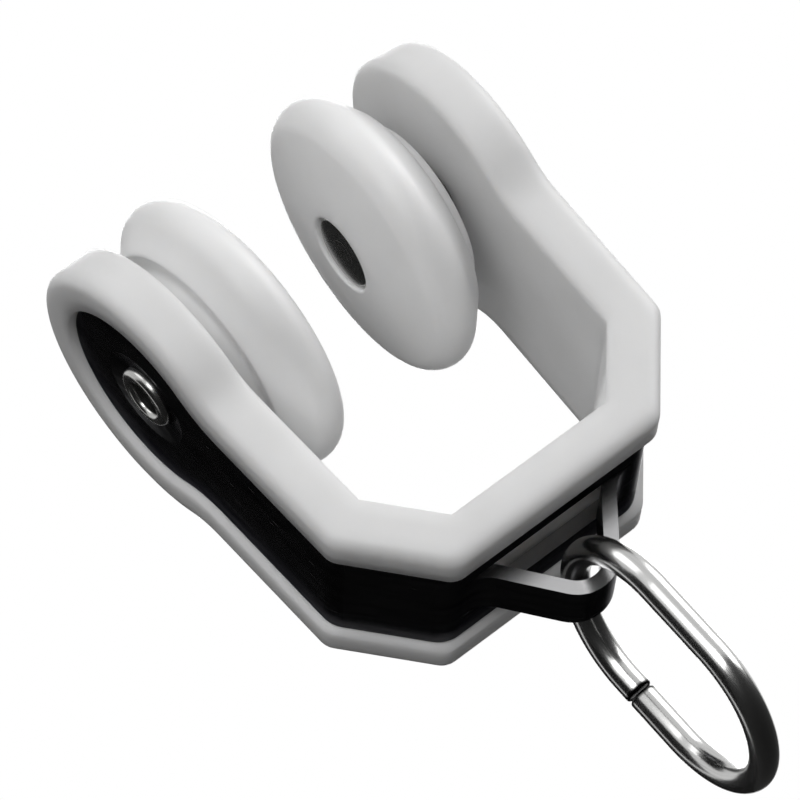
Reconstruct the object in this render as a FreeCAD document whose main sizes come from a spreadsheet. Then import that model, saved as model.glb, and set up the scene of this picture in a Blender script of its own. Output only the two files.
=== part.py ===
"""Two-wheel curtain glider for an I-section track.

A white nylon U with two slightly splayed arms carries a nylon wheel inside each head. A steel strap
lies in a recess round the outside of the U, and its bottom run is slit and pressed down into an eye
for a split wire ring. Each wheel turns on a hollow rivet through strap and arm and
has some free travel along it: the left one is drawn at its arm, the right one at its rivet's head.

X runs across the track, Y along it and Z up. The origin lies on the track's centre line, level with
the lowest point of the treads, where the wheels stand on the track's flange.
"""
import FreeCAD, Part
import math
import os
import Sketcher
from FreeCAD import Placement, Rotation, Vector

SIZES = [
    ("bottom_width", 13.6, "flat bottom of the U, between its outer corners"),
    ("body_width", 22.3, "outer width at the top of the bevels"),
    ("bevel_rise", 4.95, "height of the bevels"),
    ("arm_splay", 2.5, "outward lean of each arm, degrees"),
    ("arm_stub", 4.0, "length of arm drawn with the section"),
    ("axle_run", 15.2, "bevel top to axle, along the arm"),
    ("head_run", 15.0, "bevel top to the centre of the round head, along the arm"),
    ("body_depth", 13.2, "depth of the U along the track"),
    ("head_short", 0.1, "how far the wheel's rim stands past each round head"),
    ("waist_radius", 4.0, "hollow curve between arm and head"),
    ("arm_thick", 2.85, "wall of the arms and bevels"),
    ("floor_thick", 2.5, "wall of the bottom"),
    ("corner_radius", 1.2, "rounding of the U's outer corners"),
    ("edge_radius", 0.6, "rounding of the outer edges"),
    ("inner_edge_radius", 0.3, "rounding of the inner edges"),
    ("rim_width", 2.2, "nylon border beside the strap"),
    ("strap_sink", 0.45, "strap face below the nylon face"),
    ("strap_thick", 0.8, "strap material"),
    ("strap_edge_radius", 0.12, "rounding of the strap's cut edges"),
    ("strap_fit", 0.05, "gap between strap and recess"),
    ("bend_radius", 0.9, "rounding of the recess floor at each bend"),
    ("tongue_width", 3.5, "width of the pressed eye"),
    ("slit_width", 0.3, "slit on each side of the eye"),
    ("slit_reach", 5.6, "centre line to the end of each slit"),
    ("eye_half_span", 4.6, "centre line to the eye's slope, at the strap's face"),
    ("eye_depth", 4.0, "drop of the eye below the nylon"),
    ("eye_bend", 1.5, "inner bend at the bottom of the eye"),
    ("eye_root_bend", 1.7, "bend at each root of the eye"),
    ("dimple_radius", 3.0, "mouth of the dimple round each rivet"),
    ("dimple_depth", 0.25, "depth of that dimple"),
    ("rivet_radius", 1.5, "rivet shank"),
    ("rivet_bore", 1.05, "hollow of the rivet"),
    ("rivet_fit", 0.04, "gap round the rivet in strap and arm"),
    ("rivet_web", 1.2, "closed end of the rivet's hollow"),
    ("flange_radius", 1.85, "rolled end of the rivet"),
    ("flange_thick", 0.5, "height of the rolled end"),
    ("lip_radius", 0.22, "rounding of the rolled end"),
    ("rivet_head_radius", 2.05, "rivet head in the hub"),
    ("rivet_head_thick", 0.7, "height of that head"),
    ("rivet_head_edge", 0.3, "rounding of that head"),
    ("end_play", 0.1, "right wheel's hub to the rivet head"),
    ("axle_play", 0.9, "free travel of each wheel along its rivet"),
    ("tread_radius", 8.4, "wheel's rim, where it is widest"),
    ("running_fit", 0.06, "gap between rivet and hub bore"),
    ("wheel_gap", 0.2, "arm to the left wheel's boss"),
    ("wheel_width", 5.6, "boss to hub face"),
    ("boss_radius", 3.2, "boss on the arm side"),
    ("boss_step", 0.2, "height of that boss"),
    ("web_radius", 5.5, "narrow end of the conical flank"),
    ("rim_radius", 1.5, "round of the rim, from flank to domed face"),
    ("dome_radius", 33.0, "curve of the domed face"),
    ("cup_radius", 2.3, "hub cup in the domed face"),
    ("cup_depth", 1.0, "depth of the hub cup"),
    ("wire_radius", 0.8, "ring wire"),
    ("ring_width", 10.35, "ring strands, centre to centre"),
    ("ring_straight", 4.3, "straight length of each strand"),
    ("ring_clear", 0.5, "gap between ring and eye as drawn"),
    ("ring_shift", 0.3, "ring leans to one side of the eye by this"),
    ("ring_yaw", 4.0, "turn of the ring about its long axis, degrees"),
    ("ring_slit", 0.15, "butt slit in one strand"),
    ("slit_below_bend", 1.0, "ring's upper bend to the slit"),
]

doc = FreeCAD.newDocument("CurtainGlider")
sheet = doc.addObject("Spreadsheet::Sheet", "Sizes")
for row, (alias, value, meaning) in enumerate(SIZES, start=1):
    sheet.set("A%d" % row, alias)
    sheet.set("B%d" % row, str(value))
    sheet.set("C%d" % row, meaning)
    sheet.setAlias("B%d" % row, alias)
doc.recompute()


def number(expression):
    """Value of a spreadsheet expression."""
    return float(sheet.evalExpression(expression))


# Sizes that several pieces share, worked out from the sheet
SIN_SPLAY = "sin(Sizes.arm_splay * 1deg)"
COS_SPLAY = "cos(Sizes.arm_splay * 1deg)"
RECESS_DEPTH = "(Sizes.strap_sink + Sizes.strap_thick + Sizes.strap_fit)"
STRAP_INSET = "(Sizes.rim_width + Sizes.strap_fit)"
LEFT, RIGHT = -1, 1
BOSS_FACE = {
    LEFT: "(Sizes.arm_thick + Sizes.wheel_gap)",
    RIGHT: "(Sizes.arm_thick + Sizes.wheel_gap + Sizes.axle_play)",
}
HUB_FACE = {side: "(%s + Sizes.wheel_width)" % face for side, face in BOSS_FACE.items()}
CUP_FLOOR = {side: "(%s - Sizes.cup_depth)" % face for side, face in HUB_FACE.items()}
RIM_R = "(Sizes.tread_radius - Sizes.rim_radius)"
HUB_TO_DOME = "sqrt(Sizes.dome_radius ^ 2 - Sizes.cup_radius ^ 2)"
DOME_TO_RIM = "sqrt((Sizes.dome_radius - Sizes.rim_radius) ^ 2 - %s ^ 2)" % RIM_R
RIM_X = {side: "(%s - %s + %s)" % (face, HUB_TO_DOME, DOME_TO_RIM) for side, face in HUB_FACE.items()}
DIMPLE_FLOOR = "(Sizes.strap_sink + Sizes.dimple_depth)"
AXLE_X = "(Sizes.body_width / 2 + Sizes.axle_run * %s)" % SIN_SPLAY
AXLE_Z = "(Sizes.bevel_rise + Sizes.axle_run * %s)" % COS_SPLAY
RIM_Z = "(%s + %s * %s - %s * %s)" % (AXLE_Z, RIM_X[LEFT], SIN_SPLAY, RIM_R, COS_SPLAY)
RAIL_Z = "(%s - Sizes.rim_radius)" % RIM_Z
RING_RADIUS = "(Sizes.ring_width / 2)"
RING_SAG = "(%s - sqrt(%s ^ 2 - (Sizes.tongue_width / 2) ^ 2))" % (RING_RADIUS, RING_RADIUS)
RING_TOP = "(Sizes.strap_thick + Sizes.wire_radius + Sizes.ring_clear + %s - Sizes.eye_depth)" % RING_SAG

NEAR = 1e-4
X_AXIS, Y_AXIS = -1, -2
START, END, CENTRE = range(1, 4)


def new_body(name):
    """An empty body."""
    return doc.addObject("PartDesign::Body", name)


def new_sketch(body, name, role):
    """A sketch on one of the body's own origin planes."""
    plane = [item for item in body.Origin.OriginFeatures if item.Role == role][0]
    sketch = body.newObject("Sketcher::SketchObject", name)
    sketch.AttachmentSupport = (plane, [""])
    sketch.MapMode = "FlatFace"
    return sketch


def arm_sketch(body, name, depth):
    """A sketch parallel to the right arm's outer face, `depth` below it.

    Its x runs along the track and its y up the arm from the top of the bevel.
    """
    sketch = new_sketch(body, name, "YZ_Plane")
    sketch.AttachmentOffset = Placement(Vector(), Rotation(Vector(1, 0, 0), number("Sizes.arm_splay")))
    sketch.setExpression("AttachmentOffset.Rotation.Angle", "Sizes.arm_splay * 1deg")
    sketch.setExpression("AttachmentOffset.Base.y", "Sizes.bevel_rise + (%s) * %s" % (depth, SIN_SPLAY))
    sketch.setExpression("AttachmentOffset.Base.z", "Sizes.body_width / 2 - (%s) * %s" % (depth, COS_SPLAY))
    return sketch


def line(sketch, start, end, construction=False):
    """A straight line from (x, y) to (x, y)."""
    segment = Part.LineSegment(Vector(start[0], start[1], 0), Vector(end[0], end[1], 0))
    return sketch.addGeometry(segment, construction)


def circle(centre, radius):
    """A circle in the sketch's plane."""
    return Part.Circle(Vector(centre[0], centre[1], 0), Vector(0, 0, 1), radius)


def arc(sketch, centre, radius, first, last):
    """An arc that runs anticlockwise between two angles in radians."""
    return sketch.addGeometry(Part.ArcOfCircle(circle(centre, radius), first, last))


def rule(sketch, kind, *where):
    """A geometric constraint."""
    return sketch.addConstraint(Sketcher.Constraint(kind, *where))


def bind(sketch, kind, where, expression):
    """A dimension tied to the spreadsheet."""
    index = sketch.addConstraint(Sketcher.Constraint(kind, *where, number(expression)))
    sketch.setExpression("Constraints[%d]" % index, expression)


def join(sketch, lines):
    """Closes a row of lines end to start."""
    for here, there in zip(lines, lines[1:] + lines[:1]):
        rule(sketch, "Coincident", here, END, there, START)


def pad(body, sketch, name, length, symmetric=False, inward=False):
    """Material from a sketch, to both sides of it or to one."""
    feature = body.newObject("PartDesign::Pad", name)
    feature.Profile = sketch
    feature.SideType = "Symmetric" if symmetric else "One side"
    feature.Reversed = inward
    feature.Length = number(length)
    feature.setExpression("Length", length)
    doc.recompute()
    return feature


def pocket(body, sketch, name, length, symmetric=False):
    """A cut from a sketch, to both sides of it or against its normal."""
    before = body.Shape.Volume
    feature = body.newObject("PartDesign::Pocket", name)
    feature.Profile = sketch
    feature.SideType = "Symmetric" if symmetric else "One side"
    feature.Length = number(length)
    feature.setExpression("Length", length)
    doc.recompute()
    if body.Shape.Volume >= before:
        raise ValueError(name + " cuts nothing")
    return feature


def round_edges(body, name, radius, wanted):
    """Rounds the edges of the body's last feature that `wanted` picks."""
    base = body.Tip
    names = ["Edge%d" % count for count, edge in enumerate(base.Shape.Edges, start=1) if wanted(edge)]
    feature = body.newObject("PartDesign::Fillet", name)
    feature.Base = (base, names)
    feature.Radius = number(radius)
    feature.setExpression("Radius", radius)
    doc.recompute()
    return feature


def outer_lines():
    """The right half's outer section as (point, inward normal) for bottom, bevel and arm."""
    corner_b = Vector(number("Sizes.bottom_width / 2"), 0, 0)
    corner_a = Vector(number("Sizes.body_width / 2"), 0, number("Sizes.bevel_rise"))
    slope = (corner_a - corner_b).normalize()
    bevel_in = Vector(-slope.z, 0, slope.x)
    arm_in = Vector(-number(COS_SPLAY), 0, number(SIN_SPLAY))
    return [(corner_b, Vector(0, 0, 1)), (corner_a, bevel_in), (corner_a, arm_in)]


def depths(point):
    """How far a point lies inside the bottom, bevel and arm faces."""
    return [(point - corner).dot(inward) for corner, inward in outer_lines()]


def middle(edge):
    """The point halfway along an edge."""
    return edge.valueAt((edge.FirstParameter + edge.LastParameter) / 2)


def along_track(edge):
    """True for a straight edge parallel to Y."""
    if edge.Curve.TypeId != "Part::GeomLine":
        return False
    return abs(edge.Curve.Direction.y) > 1 - NEAR


def at_bend(edge, depth):
    """True for an edge along Y in one of the two bends, `depth` below both faces that meet there."""
    if not along_track(edge):
        return False
    floor, bevel, arm = [abs(value - depth) < NEAR for value in depths(middle(edge))]
    return (floor and bevel) or (bevel and arm)


def crossing(first, second):
    """Where two offset section lines cross, each given as (point, normal)."""
    (p, n), (q, k) = first, second
    turn = n.x * k.z - n.z * k.x
    a = p.dot(n)
    b = q.dot(k)
    return ((a * k.z - b * n.z) / turn, (n.x * b - k.x * a) / turn)


def wall_section(sketch, skin, floor_wall, arm_wall):
    """Half section of a wall that follows the U, from `skin` below the outer faces.

    The three outer faces are construction lines when there is a skin, and the wall's own outer lines
    otherwise. Every other line is parallel to its face at its own distance.
    """
    faces = outer_lines()
    stub = number("Sizes.arm_stub")
    top = faces[2][0] + Vector(number(SIN_SPLAY), 0, number(COS_SPLAY)) * stub
    corners = [(0, 0), (faces[0][0].x, 0), (faces[1][0].x, faces[1][0].z), (top.x, top.z)]
    guides = [line(sketch, corners[i], corners[i + 1], skin is not None) for i in range(3)]
    for here, there in zip(guides, guides[1:]):
        rule(sketch, "Coincident", here, END, there, START)
    rule(sketch, "Coincident", guides[0], START, X_AXIS, START)
    rule(sketch, "Horizontal", guides[0])
    bind(sketch, "DistanceX", (guides[0], START, guides[0], END), "Sizes.bottom_width / 2")
    bind(sketch, "DistanceX", (X_AXIS, START, guides[1], END), "Sizes.body_width / 2")
    bind(sketch, "DistanceY", (X_AXIS, START, guides[1], END), "Sizes.bevel_rise")
    bind(sketch, "DistanceX", (guides[2], START, guides[2], END), "Sizes.arm_stub * " + SIN_SPLAY)
    bind(sketch, "DistanceY", (guides[2], START, guides[2], END), "Sizes.arm_stub * " + COS_SPLAY)

    def offset_lines(walls):
        """Three lines parallel to the faces, joined at their crossings."""
        sizes = [number(wall) for wall in walls]
        moved = [(point + inward * size, inward) for (point, inward), size in zip(faces, sizes)]
        ends = [
            (0, sizes[0]),
            crossing(moved[0], moved[1]),
            crossing(moved[1], moved[2]),
            (top.x + faces[2][1].x * sizes[2], top.z + faces[2][1].z * sizes[2]),
        ]
        found = [line(sketch, ends[i], ends[i + 1]) for i in range(3)]
        for here, there in zip(found, found[1:]):
            rule(sketch, "Coincident", here, END, there, START)
        for guide, here, wall in zip(guides, found, walls):
            rule(sketch, "Parallel", guide, here)
            bind(sketch, "Distance", (here, END, guide), wall)
        return found, ends

    outer, outer_ends = guides, corners
    if skin is not None:
        outer, outer_ends = offset_lines([skin] * 3)
    inner, inner_ends = offset_lines([floor_wall, arm_wall, arm_wall])
    centre_cap = line(sketch, inner_ends[0], outer_ends[0])
    top_cap = line(sketch, outer_ends[3], inner_ends[3])
    rule(sketch, "Coincident", centre_cap, START, inner[0], START)
    rule(sketch, "Coincident", centre_cap, END, outer[0], START)
    rule(sketch, "Coincident", top_cap, START, outer[2], END)
    rule(sketch, "Coincident", top_cap, END, inner[2], END)
    rule(sketch, "PointOnObject", inner[0], START, Y_AXIS)
    rule(sketch, "Perpendicular", top_cap, guides[2])
    if skin is not None:
        rule(sketch, "PointOnObject", outer[0], START, Y_AXIS)
        rule(sketch, "PointOnObject", guides[2], END, top_cap)


def arm_outline(sketch, inset):
    """Outline of an arm and its round head, `inset` inside the nylon's own edge.

    The head is an arc about its own centre, and a hollow arc on each side leads from it into the
    arm's edge.
    """
    half = number("Sizes.body_depth / 2 - (%s)" % inset)
    head_size = "Sizes.tread_radius - Sizes.head_short - (%s)" % inset
    waist_size = "Sizes.waist_radius + (%s)" % inset
    head_radius = number(head_size)
    waist = number(waist_size)
    head_up = number("Sizes.head_run")
    foot = number("Sizes.arm_stub / 2")
    rise = math.sqrt((head_radius + waist) ** 2 - (half + waist) ** 2)
    lean = math.atan2(rise, half + waist)
    edge_top = head_up - rise
    left = line(sketch, (-half, foot), (-half, edge_top))
    left_waist = arc(sketch, (-half - waist, edge_top), waist, 0, lean)
    head = arc(sketch, (0, head_up), head_radius, -lean, math.pi + lean)
    right_waist = arc(sketch, (half + waist, edge_top), waist, math.pi - lean, math.pi)
    right = line(sketch, (half, edge_top), (half, foot))
    base = line(sketch, (half, foot), (-half, foot))
    rule(sketch, "Tangent", left, END, left_waist, START)
    rule(sketch, "Tangent", left_waist, END, head, END)
    rule(sketch, "Tangent", head, START, right_waist, START)
    rule(sketch, "Tangent", right_waist, END, right, START)
    rule(sketch, "Coincident", right, END, base, START)
    rule(sketch, "Coincident", base, END, left, START)
    rule(sketch, "Vertical", left)
    rule(sketch, "Vertical", right)
    rule(sketch, "Symmetric", left, START, right, END, Y_AXIS)
    rule(sketch, "PointOnObject", head, CENTRE, Y_AXIS)
    rule(sketch, "Equal", left_waist, right_waist)
    bind(sketch, "DistanceX", (left, START, right, END), "Sizes.body_depth - 2 * (%s)" % inset)
    bind(sketch, "DistanceY", (X_AXIS, START, left, START), "Sizes.arm_stub / 2")
    bind(sketch, "DistanceY", (X_AXIS, START, head, CENTRE), "Sizes.head_run")
    bind(sketch, "Radius", (head,), head_size)
    bind(sketch, "Radius", (right_waist,), waist_size)


def axle_circle(sketch, radius):
    """A circle round the axle in an arm sketch."""
    index = sketch.addGeometry(circle((0, number("Sizes.axle_run")), number(radius)))
    rule(sketch, "PointOnObject", index, CENTRE, Y_AXIS)
    bind(sketch, "DistanceY", (X_AXIS, START, index, CENTRE), "Sizes.axle_run")
    bind(sketch, "Radius", (index,), radius)


def both_halves(body, name):
    """Joins a right half to its mirror image and lowers the whole to the track's level."""
    mirrored = doc.addObject("Part::Mirroring", name + "_left_half")
    mirrored.Source = body
    mirrored.Normal = Vector(1, 0, 0)
    whole = doc.addObject("Part::Fuse", name)
    whole.Base = body
    whole.Tool = mirrored
    whole.Refine = True
    whole.setExpression("Placement.Base.z", "-" + RAIL_Z)
    whole.Label = name
    doc.recompute()
    return whole


# Carrier body: the nylon U, its round heads and the recess for the strap
carrier = new_body("carrier_half")
section = new_sketch(carrier, "carrier_section", "XZ_Plane")
wall_section(section, None, "Sizes.floor_thick", "Sizes.arm_thick")
pad(carrier, section, "carrier_wall", "Sizes.body_depth", symmetric=True)
round_edges(carrier, "outer_bends", "Sizes.corner_radius", lambda edge: at_bend(edge, 0))
plate = arm_sketch(carrier, "carrier_arm_outline", "0")
arm_outline(plate, "0")
pad(carrier, plate, "carrier_arm", "Sizes.arm_thick", inward=True)


def on_outer_edge(edge):
    """True for the edges that run round the outside of the U, front and rear."""
    point = middle(edge)
    if along_track(edge) or abs(point.x) < NEAR:
        return False
    return min(depths(point)) < number("Sizes.bend_radius") / 2


round_edges(carrier, "outer_edges", "Sizes.edge_radius", on_outer_edge)
recess = new_sketch(carrier, "recess_section", "XZ_Plane")
wall_section(recess, None, RECESS_DEPTH, RECESS_DEPTH)
pocket(carrier, recess, "recess_run", "Sizes.body_depth - 2 * Sizes.rim_width", symmetric=True)
recess_head = arm_sketch(carrier, "recess_arm_outline", "0")
arm_outline(recess_head, "Sizes.rim_width")
pocket(carrier, recess_head, "recess_arm", RECESS_DEPTH)
round_edges(carrier, "recess_bends", "Sizes.bend_radius", lambda edge: at_bend(edge, number(RECESS_DEPTH)))


def on_inner_edge(edge):
    """True for the edges that run round the inside of the U, front and rear."""
    point = middle(edge)
    if along_track(edge) or abs(point.x) < NEAR:
        return False
    floor, bevel, arm = depths(point)
    on_floor = abs(floor - number("Sizes.floor_thick")) < NEAR
    return on_floor or abs(min(bevel, arm) - number("Sizes.arm_thick")) < NEAR


round_edges(carrier, "inner_edges", "Sizes.inner_edge_radius", on_inner_edge)
arm_hole = arm_sketch(carrier, "arm_hole_circle", "0")
axle_circle(arm_hole, "Sizes.rivet_radius + Sizes.rivet_fit")
pocket(carrier, arm_hole, "arm_hole", "Sizes.arm_thick")
carrier_body = both_halves(carrier, "carrier_body")

# Steel strap: a bent band with round ends, and the eye pressed from its bottom run
strap = new_body("strap_half")
band = new_sketch(strap, "strap_section", "XZ_Plane")
strap_inside = "Sizes.strap_sink + Sizes.strap_thick"
wall_section(band, "Sizes.strap_sink", strap_inside, strap_inside)
pad(strap, band, "strap_band", "Sizes.body_depth - 2 * " + STRAP_INSET, symmetric=True)
inner_bend = "Sizes.bend_radius + Sizes.strap_fit"
round_edges(strap, "strap_inner_bends", inner_bend, lambda edge: at_bend(edge, number(strap_inside)))
strap_outside = number("Sizes.strap_sink")
strap_outer_bend = inner_bend + " + Sizes.strap_thick"
round_edges(strap, "strap_outer_bends", strap_outer_bend, lambda edge: at_bend(edge, strap_outside))
strap_head = arm_sketch(strap, "strap_arm_outline", "Sizes.strap_sink")
arm_outline(strap_head, STRAP_INSET)
pad(strap, strap_head, "strap_arm", "Sizes.strap_thick", inward=True)


def on_strap_edge(edge):
    """True for the cut edges that run round the strap's outline."""
    if along_track(edge) or abs(middle(edge).x) < NEAR:
        return False
    return edge.Length > number("Sizes.strap_thick")


round_edges(strap, "strap_edges", "Sizes.strap_edge_radius", on_strap_edge)
window = new_sketch(strap, "eye_window", "XY_Plane")
half_window = number("Sizes.tongue_width / 2 + Sizes.slit_width")
slit_end = number("Sizes.slit_reach")
window_corners = [(0, -half_window), (slit_end, -half_window), (slit_end, half_window), (0, half_window)]
window_lines = [line(window, window_corners[i], window_corners[(i + 1) % 4]) for i in range(4)]
join(window, window_lines)
for index, kind in zip(window_lines, ("Horizontal", "Vertical", "Horizontal")):
    rule(window, kind, index)
rule(window, "Symmetric", window_lines[3], START, window_lines[3], END, X_AXIS)
rule(window, "PointOnObject", window_lines[0], START, Y_AXIS)
bind(window, "DistanceX", (window_lines[0], START, window_lines[0], END), "Sizes.slit_reach")
across_slits = "Sizes.tongue_width + 2 * Sizes.slit_width"
bind(window, "DistanceY", (window_lines[1], START, window_lines[1], END), across_slits)
pocket(strap, window, "eye_slits", "2 * " + RECESS_DEPTH, symmetric=True)

# The eye falls from its root on a straight slope into a round bottom bend
eye = new_sketch(strap, "eye_section", "XZ_Plane")
span = number("Sizes.eye_half_span")
thick = number("Sizes.strap_thick")
sink = number("Sizes.strap_sink")
bend_out = number("Sizes.eye_bend + Sizes.strap_thick")
bend_in = number("Sizes.eye_bend")
bend_z = bend_out - number("Sizes.eye_depth")
reach = math.hypot(span, sink - bend_z)
slope = math.atan2(sink - bend_z, span) + math.asin(bend_out / reach)
tangent_x = math.sin(slope)
tangent_z = -math.cos(slope)
root_in = span - thick * math.tan(slope / 2)
out_end = (bend_out * tangent_x, bend_z + bend_out * tangent_z)
in_end = (bend_in * tangent_x, bend_z + bend_in * tangent_z)
overlap = number("Sizes.slit_reach + Sizes.slit_width / 2")
outer_slope = line(eye, out_end, (span, sink))
outer_flat = line(eye, (span, sink), (overlap, sink))
root_cap = line(eye, (overlap, sink), (overlap, sink + thick))
inner_flat = line(eye, (overlap, sink + thick), (root_in, sink + thick))
inner_slope = line(eye, (root_in, sink + thick), in_end)
inner_arc = arc(eye, (0, bend_z), bend_in, -math.pi / 2, slope - math.pi / 2)
centre_cap = line(eye, (0, bend_z - bend_in), (0, bend_z - bend_out))
outer_arc = arc(eye, (0, bend_z), bend_out, -math.pi / 2, slope - math.pi / 2)
eye_lines = [outer_slope, outer_flat, root_cap, inner_flat, inner_slope]
for here, there in zip(eye_lines, eye_lines[1:]):
    rule(eye, "Coincident", here, END, there, START)
rule(eye, "Tangent", outer_arc, END, outer_slope, START)
rule(eye, "Tangent", inner_arc, END, inner_slope, END)
rule(eye, "Coincident", inner_arc, START, centre_cap, START)
rule(eye, "Coincident", centre_cap, END, outer_arc, START)
rule(eye, "Coincident", inner_arc, CENTRE, outer_arc, CENTRE)
rule(eye, "PointOnObject", outer_arc, CENTRE, Y_AXIS)
rule(eye, "PointOnObject", outer_arc, START, Y_AXIS)
rule(eye, "PointOnObject", inner_arc, START, Y_AXIS)
rule(eye, "Horizontal", outer_flat)
rule(eye, "Vertical", root_cap)
rule(eye, "Horizontal", inner_flat)
bind(eye, "Radius", (inner_arc,), "Sizes.eye_bend")
bind(eye, "Radius", (outer_arc,), "Sizes.eye_bend + Sizes.strap_thick")
bind(eye, "DistanceY", (outer_arc, START, X_AXIS, START), "Sizes.eye_depth")
bind(eye, "DistanceX", (X_AXIS, START, outer_slope, END), "Sizes.eye_half_span")
bind(eye, "DistanceY", (X_AXIS, START, outer_slope, END), "Sizes.strap_sink")
bind(eye, "DistanceX", (X_AXIS, START, root_cap, START), "Sizes.slit_reach + Sizes.slit_width / 2")
bind(eye, "DistanceY", (root_cap, START, root_cap, END), "Sizes.strap_thick")
rule(eye, "Parallel", outer_slope, inner_slope)
pad(strap, eye, "eye_bridge", "Sizes.tongue_width", symmetric=True)


def at_eye_root(edge, x, z):
    """True for the edge along Y at (x, z), where the eye leaves the bottom run."""
    if not along_track(edge):
        return False
    point = middle(edge)
    return abs(point.x - x) < NEAR and abs(point.z - z) < NEAR


round_edges(strap, "eye_root_below", "Sizes.eye_root_bend", lambda edge: at_eye_root(edge, span, sink))
root_above = "Sizes.eye_root_bend + Sizes.strap_thick"
round_edges(strap, "eye_root_above", root_above, lambda edge: at_eye_root(edge, root_in, sink + thick))
dimple_mouth = arm_sketch(strap, "dimple_mouth", "Sizes.strap_sink")
axle_circle(dimple_mouth, "Sizes.dimple_radius")
dimple_bottom = arm_sketch(strap, "dimple_bottom", DIMPLE_FLOOR)
axle_circle(dimple_bottom, "Sizes.flange_radius + Sizes.rivet_fit")
strap_before = strap.Shape.Volume
dimple = strap.newObject("PartDesign::SubtractiveLoft", "dimple")
dimple.Profile = dimple_mouth
dimple.Sections = [dimple_bottom]
doc.recompute()
if strap.Shape.Volume >= strap_before:
    raise ValueError("the dimple cuts nothing")
strap_hole = arm_sketch(strap, "strap_hole_circle", "0")
axle_circle(strap_hole, "Sizes.rivet_radius + Sizes.rivet_fit")
pocket(strap, strap_hole, "strap_hole", RECESS_DEPTH)
steel_strap = both_halves(strap, "steel_strap")


def on_arm(body, side, label):
    """Sets a turned piece on its axle: its own X runs inwards from the arm's outer face."""
    inward_turn = "180deg + Sizes.arm_splay * 1deg" if side == RIGHT else "-Sizes.arm_splay * 1deg"
    turn = number("Sizes.arm_splay") + 180 if side == RIGHT else -number("Sizes.arm_splay")
    body.Placement = Placement(Vector(), Rotation(Vector(0, 1, 0), turn))
    body.setExpression("Placement.Rotation.Angle", inward_turn)
    body.setExpression("Placement.Base.x", "%d * %s" % (side, AXLE_X))
    body.setExpression("Placement.Base.z", "%s - %s" % (AXLE_Z, RAIL_Z))
    body.Label = label


def revolve(body, sketch, name):
    """A solid of revolution about the sketch's X axis."""
    feature = body.newObject("PartDesign::Revolution", name)
    feature.Profile = sketch
    feature.ReferenceAxis = (sketch, ["H_Axis"])
    feature.Angle = 360
    doc.recompute()


def stepped_profile(sketch, corners):
    """Straight profile through (x, r) corners given as expressions, every corner dimensioned."""
    spots = [(number(x), number(r)) for x, r in corners]
    rows = [line(sketch, spots[i], spots[(i + 1) % len(spots)]) for i in range(len(spots))]
    join(sketch, rows)
    for index, (x, r) in zip(rows, corners):
        bind(sketch, "DistanceX", (X_AXIS, START, index, START), x)
        bind(sketch, "DistanceY", (X_AXIS, START, index, START), r)
    return rows


def wheel(name, side):
    """A nylon wheel: boss on the arm side, conical flank, round rim, domed face with a hub cup."""
    body = new_body(name + "_body")
    sketch = new_sketch(body, name + "_profile", "XZ_Plane")
    bore = "Sizes.rivet_radius + Sizes.running_fit"
    web = BOSS_FACE[side] + " + Sizes.boss_step"
    rim = number("Sizes.rim_radius")
    rim_x = number(RIM_X[side])
    rim_r = number(RIM_R)
    dome = number("Sizes.dome_radius")
    cup = number("Sizes.cup_radius")
    hub = number(HUB_FACE[side])
    dome_x = hub - number(HUB_TO_DOME)
    lean = math.atan2(rim_r, rim_x - dome_x)
    run = rim_x - number(web)
    rise = rim_r - number("Sizes.web_radius")
    flank = math.atan2(rise, run) + math.asin(rim / math.hypot(run, rise))
    corners = [
        (number(CUP_FLOOR[side]), cup),
        (number(CUP_FLOOR[side]), number(bore)),
        (number(BOSS_FACE[side]), number(bore)),
        (number(BOSS_FACE[side]), number("Sizes.boss_radius")),
        (number(web), number("Sizes.boss_radius")),
        (number(web), number("Sizes.web_radius")),
        (rim_x - rim * math.sin(flank), rim_r + rim * math.cos(flank)),
    ]
    cup_wall = line(sketch, (hub, cup), corners[0])
    rows = [line(sketch, corners[i], corners[i + 1]) for i in range(len(corners) - 1)]
    rim_arc = arc(sketch, (rim_x, rim_r), rim, lean, flank + math.pi / 2)
    dome_arc = arc(sketch, (dome_x, 0), dome, math.asin(cup / dome), lean)
    chain = [cup_wall] + rows
    for here, there in zip(chain, chain[1:]):
        rule(sketch, "Coincident", here, END, there, START)
    for index, kind in zip(chain, ("Horizontal", "Vertical") * 3):
        rule(sketch, kind, index)
    rule(sketch, "Tangent", rows[-1], END, rim_arc, END)
    rule(sketch, "Tangent", rim_arc, START, dome_arc, END)
    rule(sketch, "Coincident", dome_arc, START, cup_wall, START)
    rule(sketch, "PointOnObject", dome_arc, CENTRE, X_AXIS)
    bind(sketch, "DistanceX", (X_AXIS, START, cup_wall, START), HUB_FACE[side])
    bind(sketch, "DistanceY", (X_AXIS, START, cup_wall, START), "Sizes.cup_radius")
    bind(sketch, "DistanceX", (X_AXIS, START, rows[0], START), CUP_FLOOR[side])
    bind(sketch, "DistanceY", (X_AXIS, START, rows[1], START), bore)
    bind(sketch, "DistanceX", (X_AXIS, START, rows[2], START), BOSS_FACE[side])
    bind(sketch, "DistanceY", (X_AXIS, START, rows[3], START), "Sizes.boss_radius")
    bind(sketch, "DistanceX", (X_AXIS, START, rows[4], START), web)
    bind(sketch, "DistanceY", (X_AXIS, START, rows[5], START), "Sizes.web_radius")
    bind(sketch, "DistanceY", (X_AXIS, START, rim_arc, CENTRE), RIM_R)
    bind(sketch, "Radius", (rim_arc,), "Sizes.rim_radius")
    bind(sketch, "Radius", (dome_arc,), "Sizes.dome_radius")
    revolve(body, sketch, name + "_turned")
    on_arm(body, side, name)
    return body


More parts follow.
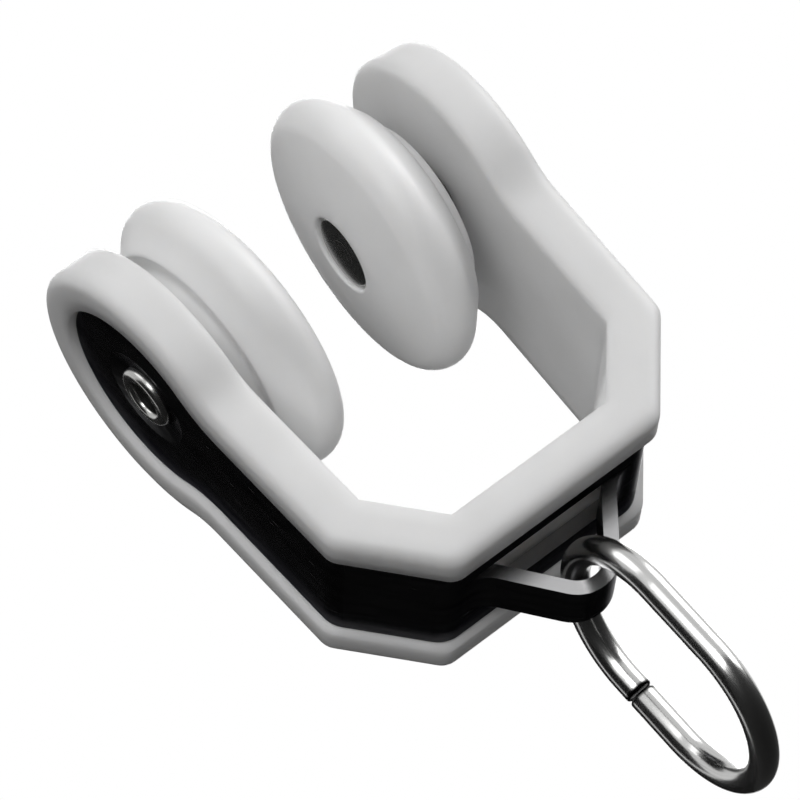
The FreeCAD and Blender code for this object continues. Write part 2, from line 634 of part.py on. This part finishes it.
def rivet(name, side):
    """A hollow rivet: rolled over outside the strap, with a flat head in the hub cup."""
    body = new_body(name + "_body")
    sketch = new_sketch(body, name + "_profile", "XZ_Plane")
    rolled_end = DIMPLE_FLOOR + " - Sizes.flange_thick"
    head_start = CUP_FLOOR[RIGHT] + " + Sizes.end_play"
    head_end = head_start + " + Sizes.rivet_head_thick"
    hollow_end = head_end + " - Sizes.rivet_web"
    corners = [
        (hollow_end, "0"),
        (hollow_end, "Sizes.rivet_bore"),
        (rolled_end, "Sizes.rivet_bore"),
        (rolled_end, "Sizes.flange_radius"),
        (DIMPLE_FLOOR, "Sizes.flange_radius"),
        (DIMPLE_FLOOR, "Sizes.rivet_radius"),
        (head_start, "Sizes.rivet_radius"),
        (head_start, "Sizes.rivet_head_radius"),
        (head_end, "Sizes.rivet_head_radius"),
        (head_end, "0"),
    ]
    stepped_profile(sketch, corners)
    revolve(body, sketch, name + "_turned")
    rolled_x = number(rolled_end)
    head_x = number(head_end)
    head_radius = number("Sizes.rivet_head_radius")
    round_edges(
        body,
        name + "_rolled_lip",
        "Sizes.lip_radius",
        lambda edge: edge.Closed and abs(edge.valueAt(0).x - rolled_x) < NEAR,
    )
    round_edges(
        body,
        name + "_head_edge",
        "Sizes.rivet_head_edge",
        lambda edge: edge.Closed
        and abs(edge.valueAt(0).x - head_x) < NEAR
        and abs(math.hypot(edge.valueAt(0).y, edge.valueAt(0).z) - head_radius) < NEAR,
    )
    on_arm(body, side, name)
    return body


left_wheel = wheel("left_wheel", LEFT)
right_wheel = wheel("right_wheel", RIGHT)
left_rivet = rivet("left_rivet", LEFT)
right_rivet = rivet("right_rivet", RIGHT)

# Hanging ring: round wire bent to an oval, its ends meeting in a butt slit in one strand
ring = new_body("hanging_ring_body")
route = new_sketch(ring, "ring_route", "YZ_Plane")
ring_radius = number(RING_RADIUS)
upper_z = number(RING_TOP) - ring_radius
lower_z = upper_z - number("Sizes.ring_straight")
slit_top = upper_z - number("Sizes.slit_below_bend")
slit_bottom = slit_top - number("Sizes.ring_slit")
strand_up = line(route, (ring_radius, slit_top), (ring_radius, upper_z))
upper_arc = arc(route, (0, upper_z), ring_radius, 0, math.pi)
far_strand = line(route, (-ring_radius, upper_z), (-ring_radius, lower_z))
lower_arc = arc(route, (0, lower_z), ring_radius, math.pi, 2 * math.pi)
strand_back = line(route, (ring_radius, lower_z), (ring_radius, slit_bottom))
rule(route, "Tangent", strand_up, END, upper_arc, START)
rule(route, "Tangent", upper_arc, END, far_strand, START)
rule(route, "Tangent", far_strand, END, lower_arc, START)
rule(route, "Tangent", lower_arc, END, strand_back, START)
rule(route, "Vertical", strand_up)
rule(route, "Vertical", far_strand)
rule(route, "PointOnObject", upper_arc, CENTRE, Y_AXIS)
rule(route, "Equal", upper_arc, lower_arc)
rule(route, "Vertical", strand_back)
bind(route, "Radius", (upper_arc,), RING_RADIUS)
bind(route, "DistanceY", (upper_arc, CENTRE, X_AXIS, START), "%s - %s" % (RING_RADIUS, RING_TOP))
bind(route, "DistanceY", (far_strand, END, far_strand, START), "Sizes.ring_straight")
bind(route, "DistanceY", (strand_up, START, strand_up, END), "Sizes.slit_below_bend")
bind(route, "DistanceY", (strand_back, END, strand_up, START), "Sizes.ring_slit")
wire = new_sketch(ring, "ring_wire", "XY_Plane")
wire.AttachmentOffset = Placement(Vector(0, 0, slit_top), Rotation())
wire.setExpression("AttachmentOffset.Base.z", "%s - %s - Sizes.slit_below_bend" % (RING_TOP, RING_RADIUS))
wire_circle = wire.addGeometry(circle((0, ring_radius), number("Sizes.wire_radius")))
rule(wire, "PointOnObject", wire_circle, CENTRE, Y_AXIS)
bind(wire, "DistanceY", (X_AXIS, START, wire_circle, CENTRE), RING_RADIUS)
bind(wire, "Radius", (wire_circle,), "Sizes.wire_radius")
doc.recompute()
bent = ring.newObject("PartDesign::AdditivePipe", "ring_bent")
bent.Profile = wire
bent.Spine = route
ring.Placement = Placement(Vector(), Rotation(Vector(0, 0, 1), number("Sizes.ring_yaw")))
ring.setExpression("Placement.Rotation.Angle", "Sizes.ring_yaw * 1deg")
ring.setExpression("Placement.Base.x", "Sizes.ring_shift")
ring.setExpression("Placement.Base.z", "-" + RAIL_Z)
ring.Label = "hanging_ring"

doc.recompute()
failed = [item.Name for item in doc.Objects if "Invalid" in item.State or "Error" in item.State]
sketches = [item for item in doc.Objects if item.TypeId == "Sketcher::SketchObject"]
failed += [item.Name for item in sketches if item.solve() != 0 or not item.FullyConstrained]
if failed:
    raise RuntimeError("not built: " + ", ".join(failed))

nodes = [carrier_body, steel_strap, left_wheel, right_wheel, left_rivet, right_rivet, ring]
os.makedirs("parts", exist_ok=True)
for node in nodes:
    shape = node.Shape
    if shape.isNull() or not shape.isValid() or len(shape.Solids) != 1:
        raise RuntimeError(node.Label + " is not one valid solid")
    shape.exportStep("parts/" + node.Label + ".step")
    print(node.Label, "volume", round(shape.Volume, 2), "mm3, box", shape.BoundBox)
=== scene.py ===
import bmesh
import bpy
import numpy as np
from mathutils import Matrix


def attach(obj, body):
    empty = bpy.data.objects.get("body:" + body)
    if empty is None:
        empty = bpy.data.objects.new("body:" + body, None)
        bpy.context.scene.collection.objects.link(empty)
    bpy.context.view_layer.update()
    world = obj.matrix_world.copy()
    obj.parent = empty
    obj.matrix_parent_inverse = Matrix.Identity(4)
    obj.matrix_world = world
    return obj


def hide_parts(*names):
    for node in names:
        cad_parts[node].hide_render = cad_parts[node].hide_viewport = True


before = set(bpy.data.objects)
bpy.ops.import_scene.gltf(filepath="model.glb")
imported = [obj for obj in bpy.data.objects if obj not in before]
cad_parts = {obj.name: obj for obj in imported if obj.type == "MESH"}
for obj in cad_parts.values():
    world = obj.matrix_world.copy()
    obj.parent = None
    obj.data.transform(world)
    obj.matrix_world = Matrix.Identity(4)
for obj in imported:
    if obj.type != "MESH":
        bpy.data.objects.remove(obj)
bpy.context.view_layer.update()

# Carrier body: the U that holds everything, injection moulded in natural polyamide. Its walls are of
# nearly one thickness, its edges are rounded by the mould, and a recess outside takes the strap.
MM = 0.001


def linear(code):
    """Linear RGBA from an sRGB hex colour: each channel through the sRGB transfer curve."""
    levels = np.array([int(code[i:i + 2], 16) for i in (1, 3, 5)]) / 255
    straight = np.where(levels <= 0.04045, levels / 12.92, ((levels + 0.055) / 1.055) ** 2.4)
    return (*straight.tolist(), 1.0)


def node(tree, kind, settings=None, **inputs):
    """Adds a node, sets its own settings, and fills its inputs with values or links by socket name.

    A name that ends in an underscore and a digit means the socket at that place.
    """
    added = tree.nodes.new(kind)
    for key, value in (settings or {}).items():
        setattr(added, key, value)
    for key, value in inputs.items():
        place = key[-1] if key[-2:-1] == "_" and key[-1].isdigit() else None
        socket = added.inputs[int(place)] if place else added.inputs[key.replace("_", " ")]
        if isinstance(value, bpy.types.NodeSocket):
            tree.links.new(value, socket)
        else:
            socket.default_value = value
    return added


def surface(name, **inputs):
    """A material of one Principled shader; returns it with its node tree and the shader."""
    made = bpy.data.materials.new(name)
    made.use_nodes = True
    made.node_tree.nodes.clear()
    shader = node(made.node_tree, "ShaderNodeBsdfPrincipled", **inputs)
    node(made.node_tree, "ShaderNodeOutputMaterial", Surface=shader.outputs[0])
    return made, made.node_tree, shader


# Moulded polyamide 6: milky and waxy, light enters about a millimetre deep. The mould's fine spark
# grain breaks the gloss, the melt leaves faint clouds and a slow ripple, and light blurs the edges.
def moulded_polyamide(name, pale, clouded, soft_edge):
    """Milky plastic: clouded colour, grained gloss, a ripple, and edges shaded soft over soft_edge."""
    cloud_width, grain_width, ripple_width = 5 * MM, 0.35 * MM, 2.5 * MM
    made, tree, shader = surface(
        name, IOR=1.53, Subsurface_Weight=0.7, Subsurface_Scale=1.3 * MM,
        Subsurface_Radius=(1.0, 0.98, 0.95),
    )
    place = node(tree, "ShaderNodeTexCoord").outputs["Object"]
    clouds = node(
        tree, "ShaderNodeTexNoise", Vector=place, Scale=1 / cloud_width, Detail=3.0, Roughness=0.5
    )
    colour = node(
        tree, "ShaderNodeMix", {"data_type": "RGBA"},
        Factor=clouds.outputs[0], at_6=linear(pale), at_7=linear(clouded),
    )
    tree.links.new(colour.outputs[2], shader.inputs["Base Color"])
    grain = node(tree, "ShaderNodeTexNoise", Vector=place, Scale=1 / grain_width, Detail=2.0)
    gloss = node(tree, "ShaderNodeMapRange", Value=grain.outputs[0], To_Min=0.36, To_Max=0.52)
    tree.links.new(gloss.outputs[0], shader.inputs["Roughness"])
    swell = node(tree, "ShaderNodeTexNoise", Vector=place, Scale=1 / ripple_width, Detail=1.0)
    eased = node(tree, "ShaderNodeBevel", {"samples": 8}, Radius=soft_edge)
    ripple = node(
        tree, "ShaderNodeBump", Strength=0.25, Distance=0.05 * MM,
        Height=swell.outputs[0], Normal=eased.outputs[0],
    )
    bump = node(
        tree, "ShaderNodeBump", Strength=0.12, Distance=0.02 * MM,
        Height=grain.outputs[0], Normal=ripple.outputs[0],
    )
    tree.links.new(bump.outputs[0], shader.inputs["Normal"])
    return made


body_plastic = moulded_polyamide("polyamide_moulded_body", "#EEEEEE", "#E0E0E0", 1.3 * MM)
body_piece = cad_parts["carrier_body"]
body_piece.data.materials.clear()
body_piece.data.materials.append(body_plastic)

# Steel strap: a blanked and bent band that lies in the recess, its bottom run lanced and pressed into
# an eye. Steel plated in black nickel.

# Black nickel over cold-rolled steel: a dark mirror, with rolling streaks along the band, a faint
# orange peel from the plating bath, and sheared edges, which face along the track, left bright.
streak_width, streak_draw, peel_width = 0.3 * MM, 0.12, 0.7 * MM
plated, plated_tree, plated_shader = surface(
    "steel_black_nickel", Metallic=1.0, Specular_Tint=linear("#8C8C8E")
)
band = node(plated_tree, "ShaderNodeTexCoord")
stretched = node(
    plated_tree, "ShaderNodeMapping",
    Vector=band.outputs["Object"], Scale=(streak_draw, 1.0, streak_draw),
)
rolled = node(
    plated_tree, "ShaderNodeTexNoise", Vector=stretched.outputs[0], Scale=1 / streak_width, Detail=4.0
)
tone = node(
    plated_tree, "ShaderNodeMix", {"data_type": "RGBA"},
    Factor=rolled.outputs[0], at_6=linear("#3E3E3F"), at_7=linear("#747475"),
)
facing = node(plated_tree, "ShaderNodeSeparateXYZ", Vector=band.outputs["Normal"])
sheared = node(plated_tree, "ShaderNodeMath", {"operation": "ABSOLUTE"}, Value_0=facing.outputs["Y"])
sheared = node(
    plated_tree, "ShaderNodeMapRange", Value=sheared.outputs[0], From_Min=0.6, From_Max=0.95
)
tone = node(
    plated_tree, "ShaderNodeMix", {"data_type": "RGBA"},
    Factor=sheared.outputs[0], at_6=tone.outputs[2], at_7=linear("#B6B6B7"),
)
plated_tree.links.new(tone.outputs[2], plated_shader.inputs["Base Color"])
gloss = node(plated_tree, "ShaderNodeMapRange", Value=rolled.outputs[0], To_Min=0.16, To_Max=0.32)
plated_tree.links.new(gloss.outputs[0], plated_shader.inputs["Roughness"])
peel = node(
    plated_tree, "ShaderNodeTexNoise", Vector=band.outputs["Object"], Scale=1 / peel_width, Detail=1.0
)
bump = node(plated_tree, "ShaderNodeBump", Strength=0.2, Distance=0.02 * MM, Height=peel.outputs[0])
plated_tree.links.new(bump.outputs[0], plated_shader.inputs["Normal"])
strap_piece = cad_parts["steel_strap"]
strap_piece.data.materials.clear()
strap_piece.data.materials.append(plated)

# Wheels: two moulded polyamide rollers on rivets inside the heads. Each has a boss and a groove on the
# arm side, a conical flank, a round rim and a domed face with a cup for the rivet's head. They have
# some free travel: the left one stands at its arm, the right one at its rivet's head.


def rounded(corners, steps, loop):
    """Profile through (x, r, edge radius) corners, every corner replaced by its tangent arc.

    The arc's centre lies on the corner's bisector at radius / sin(half angle). An open profile keeps
    its two end points.
    """
    corners = np.array(corners, float)
    spots, size = corners[:, :2], corners[:, 2]
    back = np.roll(spots, 1, 0) - spots
    ahead = np.roll(spots, -1, 0) - spots
    back /= np.linalg.norm(back, axis=1, keepdims=True)
    ahead /= np.linalg.norm(ahead, axis=1, keepdims=True)
    half = np.arccos(np.clip((back * ahead).sum(1), -1, 1)) / 2
    middle = back + ahead
    middle /= np.linalg.norm(middle, axis=1, keepdims=True)
    centre = spots + middle * (size / np.sin(half))[:, None]
    first = spots + back * (size / np.tan(half))[:, None] - centre
    last = spots + ahead * (size / np.tan(half))[:, None] - centre
    start = np.arctan2(first[:, 1], first[:, 0])
    sweep = (np.arctan2(last[:, 1], last[:, 0]) - start + np.pi) % (2 * np.pi) - np.pi
    angle = start[:, None] + sweep[:, None] * np.linspace(0, 1, steps)
    arcs = centre[:, None] + size[:, None, None] * np.stack([np.cos(angle), np.sin(angle)], 2)
    if loop:
        return arcs.reshape(-1, 2)
    return np.vstack([spots[:1], arcs[1:-1].reshape(-1, 2), spots[-1:]])


def skin(name, grid, along, around, loop):
    """Closed mesh over a grid of points: wrapped round its second parameter, and its first if `loop`.

    Each quad joins neighbours of the grid. The UV map holds the two lengths `along` and `around`, in
    millimetres, and rows that shrink to a point are welded into a pole.
    """
    rows, columns = grid.shape[:2]
    i, j = np.meshgrid(np.arange(rows if loop else rows - 1), np.arange(columns), indexing="ij")
    down = np.stack([i, i + 1, i + 1, i], 2).reshape(-1, 4)
    across = np.stack([j, j, j + 1, j + 1], 2).reshape(-1, 4)
    mesh = bpy.data.meshes.new(name)
    mesh.from_pydata(grid.reshape(-1, 3) * MM, [], (down % rows) * columns + across % columns)
    spread = mesh.uv_layers.new(name="lengths")
    spread.data.foreach_set("uv", np.stack([along[down], around[across]], 2).astype(np.float32).ravel())
    welded = bmesh.new()
    welded.from_mesh(mesh)
    bmesh.ops.remove_doubles(welded, verts=welded.verts, dist=1e-4 * MM)
    welded.to_mesh(mesh)
    welded.free()
    mesh.shade_smooth()
    piece = bpy.data.objects.new(name, mesh)
    bpy.context.collection.objects.link(piece)
    piece.modifiers.new("flat_faces_stay_flat", "WEIGHTED_NORMAL").weight = 100
    return piece


def turned(name, side, profile, count, loop):
    """Surface of revolution about an axle: point = foot + x * axis + r * (cos * along + sin * up).

    The foot is the axle's place in the arm's outer face, and x runs inwards from it along the splay.
    """
    splay = np.radians(2.5)
    foot = np.array([side * 11.813, 0.0, 8.111])
    axis = np.array([-side * np.cos(splay), 0.0, np.sin(splay)])
    along_track = np.array([0.0, 1.0, 0.0])
    up = np.cross(axis, along_track)
    turn = np.linspace(0, 2 * np.pi, count + 1)
    circle = np.cos(turn[:-1, None]) * along_track + np.sin(turn[:-1, None]) * up
    grid = foot + profile[:, None, :1] * axis + profile[:, None, 1:] * circle[None]
    steps = np.linalg.norm(np.diff(np.vstack([profile, profile[:1]]), axis=0), axis=1)
    along = np.concatenate([[0], np.cumsum(steps)])
    return skin(name, grid, along, turn * profile[:, 1].max(), loop)


bore, boss, cup = 1.56, 3.2, 2.3
boss_end, web, groove_floor, cup_floor, face = 3.05, 3.25, 4.5, 7.65, 8.65
arc_steps, wheel_facets, free_travel = 20, 160, 0.9
wheel_profile = rounded(
    [
        (cup_floor, bore, 0.08), (boss_end, bore, 0.2), (boss_end, boss, 0.08), (web, boss, 0.1),
        (web, 5.1, 0.25), (groove_floor, 5.4, 0.3), (groove_floor, 6.25, 0.25), (4.2, 6.587, 0.1),
        (7.281, 10.114, 1.5), (8.476, 4.791, 30.2),  # rim, and the dome from rim to cup
        (face, cup, 0.08), (cup_floor, cup, 0.25),
    ],
    arc_steps, True,
)
wheel_plastic = moulded_polyamide("polyamide_moulded_wheel", "#F8F8F8", "#ECECEC", 0.3 * MM)
for side_name, side in (("left", -1), ("right", 1)):
    shifted = wheel_profile + np.array([free_travel if side == 1 else 0.0, 0.0])
    wheel = turned(side_name + "_roller", side, shifted, wheel_facets, True)
    wheel.data.materials.append(wheel_plastic)
    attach(wheel, side_name + "_wheel")
    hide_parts(side_name + "_wheel")

# Rivets: hollow axles of nickel-plated steel. The flat head sits in the wheel's cup, and the open end
# is rolled over in the strap's dimple.
hollow, shank, rolled_end, head = 1.05, 1.5, 1.85, 2.2
end_top, end_foot, hollow_floor, head_foot, head_top = 0.2, 0.7, 8.15, 8.65, 9.35
edge_steps, rivet_facets = 8, 96
rivet_profile = rounded(
    [
        (hollow_floor, 0.0, 0.0), (hollow_floor, hollow, 0.15), (end_top, hollow, 0.3),
        (end_top, rolled_end, 0.4), (end_foot, rolled_end, 0.05), (end_foot, shank, 0.05),
        (head_foot, shank, 0.05), (head_foot, head, 0.1), (head_top, head, 0.2), (head_top, 0.0, 0.0),
    ],
    edge_steps, False,
)

# Bright nickel over turned steel: a warm-grey mirror with fine lathe rings, which the UV map's lengths
# in millimetres place along the profile.
ring_pitch, ring_run = 0.08, 20.0
nickel, nickel_tree, nickel_shader = surface("steel_bright_nickel_turned", Metallic=1.0)
lengths = node(nickel_tree, "ShaderNodeTexCoord").outputs["UV"]
squeezed = node(
    nickel_tree, "ShaderNodeMapping", Vector=lengths, Scale=(1 / ring_pitch, 1 / ring_run, 1.0)
)
lathe = node(nickel_tree, "ShaderNodeTexNoise", Vector=squeezed.outputs[0], Scale=1.0, Detail=2.0)
tone = node(
    nickel_tree, "ShaderNodeMix", {"data_type": "RGBA"},
    Factor=lathe.outputs[0], at_6=linear("#B4B4B2"), at_7=linear("#989896"),
)
nickel_tree.links.new(tone.outputs[2], nickel_shader.inputs["Base Color"])
gloss = node(nickel_tree, "ShaderNodeMapRange", Value=lathe.outputs[0], To_Min=0.14, To_Max=0.32)
nickel_tree.links.new(gloss.outputs[0], nickel_shader.inputs["Roughness"])
bump = node(nickel_tree, "ShaderNodeBump", Strength=0.2, Distance=0.01 * MM, Height=lathe.outputs[0])
nickel_tree.links.new(bump.outputs[0], nickel_shader.inputs["Normal"])
for side_name, side in (("left", -1), ("right", 1)):
    rivet = turned(side_name + "_axle_rivet", side, rivet_profile, rivet_facets, False)
    rivet.data.materials.append(nickel)
    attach(rivet, "carrier")
    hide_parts(side_name + "_rivet")

# Hanging ring: drawn steel wire bent to an oval through the strap's eye, its ends meeting in a butt
# slit on the rear strand. Nickel plated after bending.
ring_x, ring_radius, wire_radius, ring_yaw = 0.3, 5.175, 0.8, np.radians(4.0)
upper_z, lower_z = -18.794, -23.094
slit_top, slit_bottom, end_round = upper_z - 1.0, upper_z - 1.15, 0.15
turn_points, end_steps, wire_facets = 96, 6, 40


def oval_path(count):
    """Centre line of the ring: strand up, half turn, strand down, half turn, strand up to the slit.

    Returns the points in the YZ plane and their outward normals in that plane.
    """
    half_turn = np.linspace(0, np.pi, count)
    arc = np.stack([np.cos(half_turn), np.sin(half_turn)], 1)
    out = np.array([1.0, 0.0])
    top, bottom = np.array([0, upper_z]), np.array([0, lower_z])
    points = np.vstack([
        [[ring_radius, slit_top]], top + ring_radius * arc, bottom - ring_radius * arc,
        [[ring_radius, slit_bottom]],
    ])
    normals = np.vstack([[out], arc, -arc, [out]])
    return points, normals


points, normals = oval_path(turn_points)
lengths_along = np.concatenate([[0], np.cumsum(np.linalg.norm(np.diff(points, axis=0), axis=1))])
total = lengths_along[-1]
quarter = np.linspace(0, np.pi / 2, end_steps)
ends = end_round * (1 - np.cos(quarter))
stations = np.concatenate([[0], ends, lengths_along[1:-1], total - ends[::-1], [total]])
end_radii = wire_radius - end_round * (1 - np.sin(quarter))
middle_radii = np.full(len(lengths_along) - 2, wire_radius)
radii = np.concatenate([[0], end_radii, middle_radii, end_radii[::-1], [0]])
centre_y = np.interp(stations, lengths_along, points[:, 0])
centre_z = np.interp(stations, lengths_along, points[:, 1])
normal_y = np.interp(stations, lengths_along, normals[:, 0])
normal_z = np.interp(stations, lengths_along, normals[:, 1])
turn = np.linspace(0, 2 * np.pi, wire_facets + 1)
spoke = radii[:, None] * np.cos(turn[None, :-1])
across = radii[:, None] * np.sin(turn[None, :-1])
in_plane = centre_y[:, None] + spoke * normal_y[:, None]
tube = np.stack([
    ring_x + across * np.cos(ring_yaw) - in_plane * np.sin(ring_yaw),
    across * np.sin(ring_yaw) + in_plane * np.cos(ring_yaw),
    centre_z[:, None] + spoke * normal_z[:, None],
], 2)
ring = skin("hanging_ring_wire", tube, stations, turn * wire_radius, False)

# Bright nickel over drawn wire: a clean mirror, with faint die lines that run along the wire. Painted
# shade at the slit: the wire is painted dark over its last 0.15 mm at each end, fading out by 0.3 mm.
line_stretch, line_width, dark_end, dark_fade = 0.15, 0.12, 0.15, 0.3
drawn, drawn_tree, drawn_shader = surface("steel_bright_nickel_wire", Metallic=1.0)
lengths = node(drawn_tree, "ShaderNodeTexCoord").outputs["UV"]
squeezed = node(
    drawn_tree, "ShaderNodeMapping", Vector=lengths, Scale=(line_stretch, 1 / line_width, 1.0)
)
die_lines = node(drawn_tree, "ShaderNodeTexNoise", Vector=squeezed.outputs[0], Scale=1.0, Detail=2.0)
tone = node(
    drawn_tree, "ShaderNodeMix", {"data_type": "RGBA"},
    Factor=die_lines.outputs[0], at_6=linear("#C4C4C3"), at_7=linear("#AFAFAE"),
)
along_wire = node(drawn_tree, "ShaderNodeSeparateXYZ", Vector=lengths).outputs["X"]
from_middle = node(
    drawn_tree, "ShaderNodeMath", {"operation": "SUBTRACT"}, Value_0=along_wire, Value_1=total / 2
)
from_middle = node(
    drawn_tree, "ShaderNodeMath", {"operation": "ABSOLUTE"}, Value_0=from_middle.outputs[0]
)
# Painted shade: this mask darkens the wire towards both ends, standing in for the shade in the slit
# where they meet.
slit_painted_shade = node(
    drawn_tree, "ShaderNodeMapRange", Value=from_middle.outputs[0],
    From_Min=total / 2 - dark_fade, From_Max=total / 2 - dark_end,
)
tone = node(
    drawn_tree, "ShaderNodeMix", {"data_type": "RGBA"},
    Factor=slit_painted_shade.outputs[0], at_6=tone.outputs[2], at_7=linear("#2A2A2A"),
)
drawn_tree.links.new(tone.outputs[2], drawn_shader.inputs["Base Color"])
gloss = node(drawn_tree, "ShaderNodeMapRange", Value=die_lines.outputs[0], To_Min=0.14, To_Max=0.28)
drawn_tree.links.new(gloss.outputs[0], drawn_shader.inputs["Roughness"])
bump = node(
    drawn_tree, "ShaderNodeBump", Strength=0.15, Distance=0.008 * MM, Height=die_lines.outputs[0]
)
drawn_tree.links.new(bump.outputs[0], drawn_shader.inputs["Normal"])
ring.data.materials.append(drawn)
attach(ring, "ring")
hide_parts("hanging_ring")

# Studio: a pale floor well below the hanging glider, a white surround, soft lamps in front, above, at
# the right and behind, and dark cards behind, beside and below that only gloss mirrors.


def panel(name, centre, half_across, half_up):
    """Flat rectangle: centre plus and minus two half-side vectors, in metres."""
    centre, half_across, half_up = (np.array(item, float) for item in (centre, half_across, half_up))
    signs = np.array([(-1, -1), (1, -1), (1, 1), (-1, 1)])
    mesh = bpy.data.meshes.new(name)
    corners = centre + signs[:, :1] * half_across + signs[:, 1:] * half_up
    mesh.from_pydata(corners, [], [(0, 1, 2, 3)])
    made = bpy.data.objects.new(name, mesh)
    bpy.context.collection.objects.link(made)
    return made


# Matt white paint, which glows a little to the camera alone and throws no light back at the glider.
floor = panel("studio_floor", (0, 0, -0.12), (2.5, 0, 0), (0, 2.5, 0))
floor_paint, floor_tree, floor_shader = surface(
    "matt_white_floor", Base_Color=linear("#F0F0F0"), Roughness=0.9, Emission_Color=linear("#FFFFFF")
)
seen = node(floor_tree, "ShaderNodeLightPath").outputs["Is Camera Ray"]
glow = node(floor_tree, "ShaderNodeMapRange", Value=seen, To_Min=0.0, To_Max=0.35)
floor_tree.links.new(glow.outputs[0], floor_shader.inputs["Emission Strength"])
floor.data.materials.append(floor_paint)
floor.visible_diffuse = False

# Matt black card, seen by gloss alone: the plated steel mirrors it and looks dark from the front.
card_paper, _, _ = surface("matt_black_card", Base_Color=linear("#0A0A0A"), Roughness=1.0)
cards = [
    panel("upper_card", (-0.235, 0.5, 0.2), (0.315, 0, 0), (0, 0, 0.25)),
    panel("lower_card", (-0.165, 0.5, -0.085), (0.385, 0, 0), (0, 0, 0.034)),
    panel("side_card", (-0.45, -0.02, 0.1), (0, 0.27, 0), (0, 0, 0.2)),
    panel("ground_card", (0, 0, -0.115), (0.7, 0, 0), (0, 0.7, 0)),
]
for card in cards:
    card.data.materials.append(card_paper)
    card.visible_camera = False
    card.visible_diffuse = False
    card.visible_shadow = False
    card.visible_transmission = False


def stand_at(place, right, back):
    """World matrix of what looks along -back: its columns are right, back x right, back and place."""
    stand = np.eye(4)
    stand[:3, :4] = np.stack([right, np.cross(back, right), back, place], 1)
    return Matrix(stand.tolist())


# Four square soft boxes, all turned to the middle of the glider.
lamp_width = 0.45
for lamp_name, place, watts in (
    ("front_lamp", (-0.2, -0.55, -0.09), 2.7),
    ("top_lamp", (-0.15, -0.4, 0.555), 1.1),
    ("right_lamp", (0.6, -0.25, 0.1), 2.4),
    ("rear_lamp", (0.3, 0.6, 0.35), 2.3),
):
    light = bpy.data.lights.new(lamp_name, "AREA")
    light.size = lamp_width
    light.energy = watts
    lamp = bpy.data.objects.new(lamp_name, light)
    bpy.context.collection.objects.link(lamp)
    back = np.array(place) / np.linalg.norm(place)
    right = np.cross((0.0, 0.0, 1.0), back)
    lamp.matrix_world = stand_at(place, right / np.linalg.norm(right), back)
    lamp.visible_camera = False

# White surround: white to the camera and in gloss, and only a faint fill on the pieces themselves.
world = bpy.data.worlds.new("white_surround")
bpy.context.scene.world = world
world.use_nodes = True
world.node_tree.nodes.clear()
ray = node(world.node_tree, "ShaderNodeLightPath")
shown = node(
    world.node_tree, "ShaderNodeMath", {"operation": "MAXIMUM"},
    Value_0=ray.outputs["Is Camera Ray"], Value_1=ray.outputs["Is Glossy Ray"],
)
shown = node(
    world.node_tree, "ShaderNodeMath", {"operation": "MAXIMUM"},
    Value_0=shown.outputs[0], Value_1=ray.outputs["Is Transmission Ray"],
)
level = node(world.node_tree, "ShaderNodeMapRange", Value=shown.outputs[0], To_Min=0.1, To_Max=1.0)
white = node(
    world.node_tree, "ShaderNodeBackground", Color=linear("#FFFFFF"), Strength=level.outputs[0]
)
node(world.node_tree, "ShaderNodeOutputWorld", Surface=white.outputs[0])

# Camera: below and in front of the glider, rolled so that its arms rise to the upper left.
lens = bpy.data.cameras.new("photo_camera")
lens.sensor_width = 36
lens.lens = 185.5
camera = bpy.data.objects.new("photo_camera", lens)
bpy.context.collection.objects.link(camera)
viewpoint = np.array([-70.48, -195.0, -74.891]) * MM
back = np.array([-0.3166, -0.8861, -0.3386])
back /= np.linalg.norm(back)
right = np.array([0.7729, -0.0340, -0.6336])
right -= back * right.dot(back)
camera.matrix_world = stand_at(viewpoint, right / np.linalg.norm(right), back)
bpy.context.scene.camera = camera
bpy.context.scene.view_settings.view_transform = "Standard"
